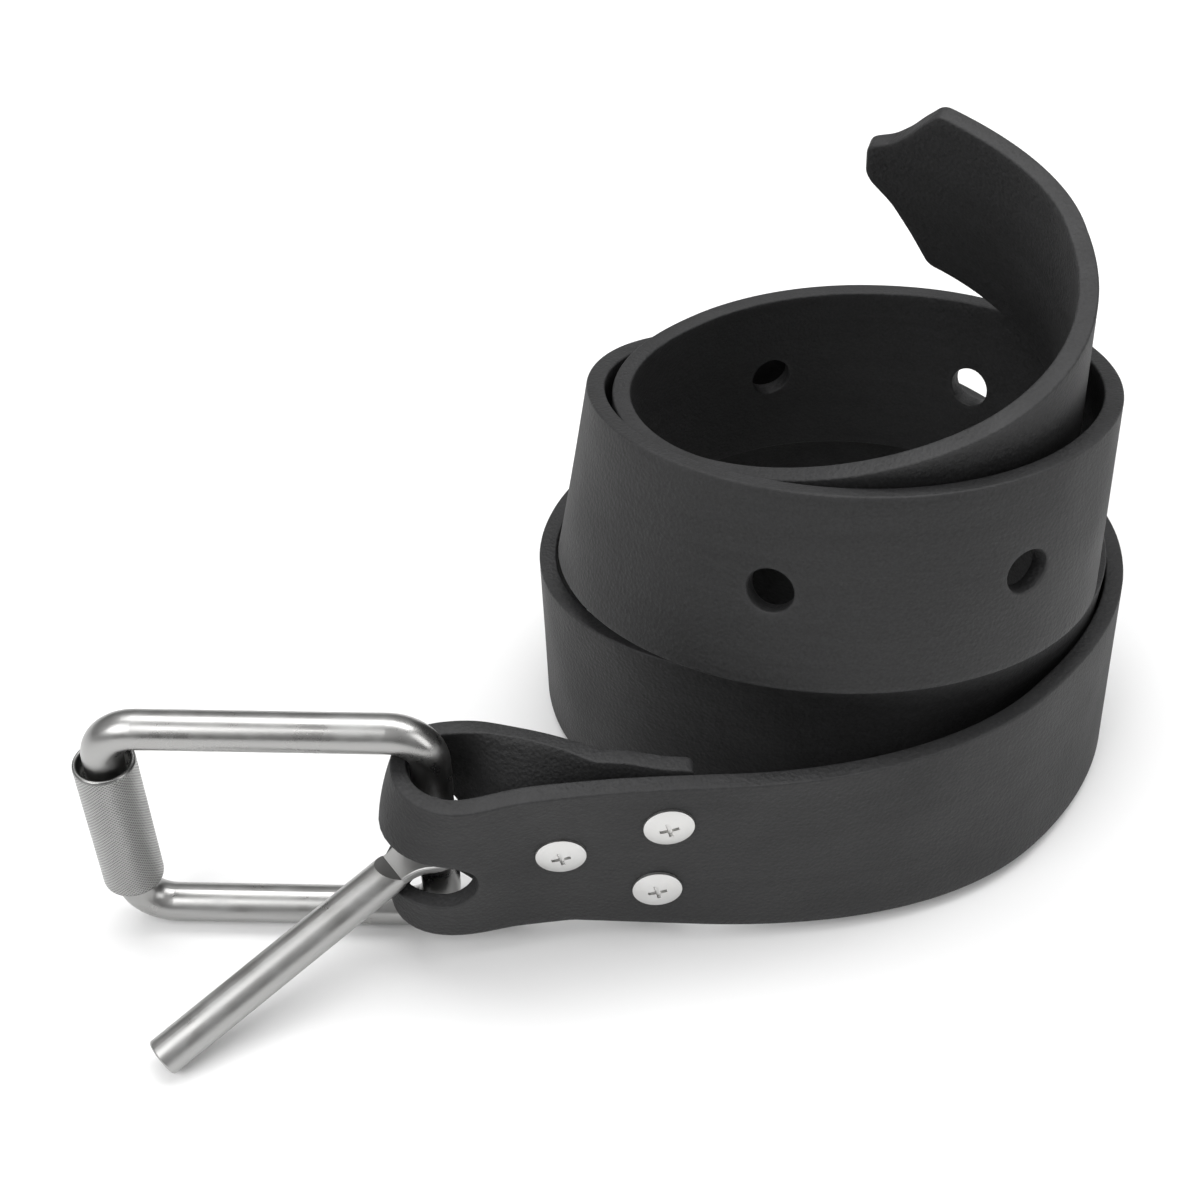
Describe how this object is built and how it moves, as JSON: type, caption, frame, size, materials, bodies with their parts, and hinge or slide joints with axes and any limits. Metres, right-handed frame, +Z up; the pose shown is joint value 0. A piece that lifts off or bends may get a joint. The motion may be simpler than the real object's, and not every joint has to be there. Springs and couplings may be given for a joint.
{
  "type": "dive weight belt",
  "caption": "Rubber diver's weight belt, coiled on its edge, with a stainless roller buckle, a drooping prong and two-part screws through the strap's fold.",
  "frame": {"origin": "under the middle of the whole belt's box, on the surface it stands on", "axes": "+X from the buckle's free end towards the coil, +Y from the buckle's side towards the back of the coil, +Z up"},
  "size_m": [0.2598, 0.2031, 0.1597],
  "materials": {
    "strap_rubber": "matt moulded rubber, fine grain",
    "stainless_rod": "polished stainless steel",
    "stainless_roller": "finely knurled stainless steel",
    "stainless_screw": "polished stainless steel"
  },
  "bodies": {
    "strap": {"strap": "strap_rubber", "screw_front": "stainless_screw", "post_front": "stainless_screw", "screw_upper": "stainless_screw", "post_upper": "stainless_screw", "screw_lower": "stainless_screw", "post_lower": "stainless_screw"},
    "frame": {"buckle_frame": "stainless_rod"},
    "roller": {"buckle_roller": "stainless_roller"},
    "prong": {"buckle_prong": "stainless_rod"}
  },
  "joints": [
    {"name": "buckle_swing", "type": "hinge", "parent": "strap", "child": "frame", "pos_m": [-0.04786, -0.05433, 0.03545], "axis": [0, 0, 1], "range_deg": [-90, 20]},
    {"name": "roller_spin", "type": "hinge", "parent": "frame", "child": "roller", "pos_m": [-0.12264, -0.05263, 0.03545], "axis": [0, 0, 1], "continuous": true},
    {"name": "prong_swing", "type": "hinge", "parent": "frame", "child": "prong", "pos_m": [-0.04786, -0.05433, 0.0313], "axis": [0.0877, -0.6088, 0.7885], "range_deg": [-33, 0]}
  ]
}
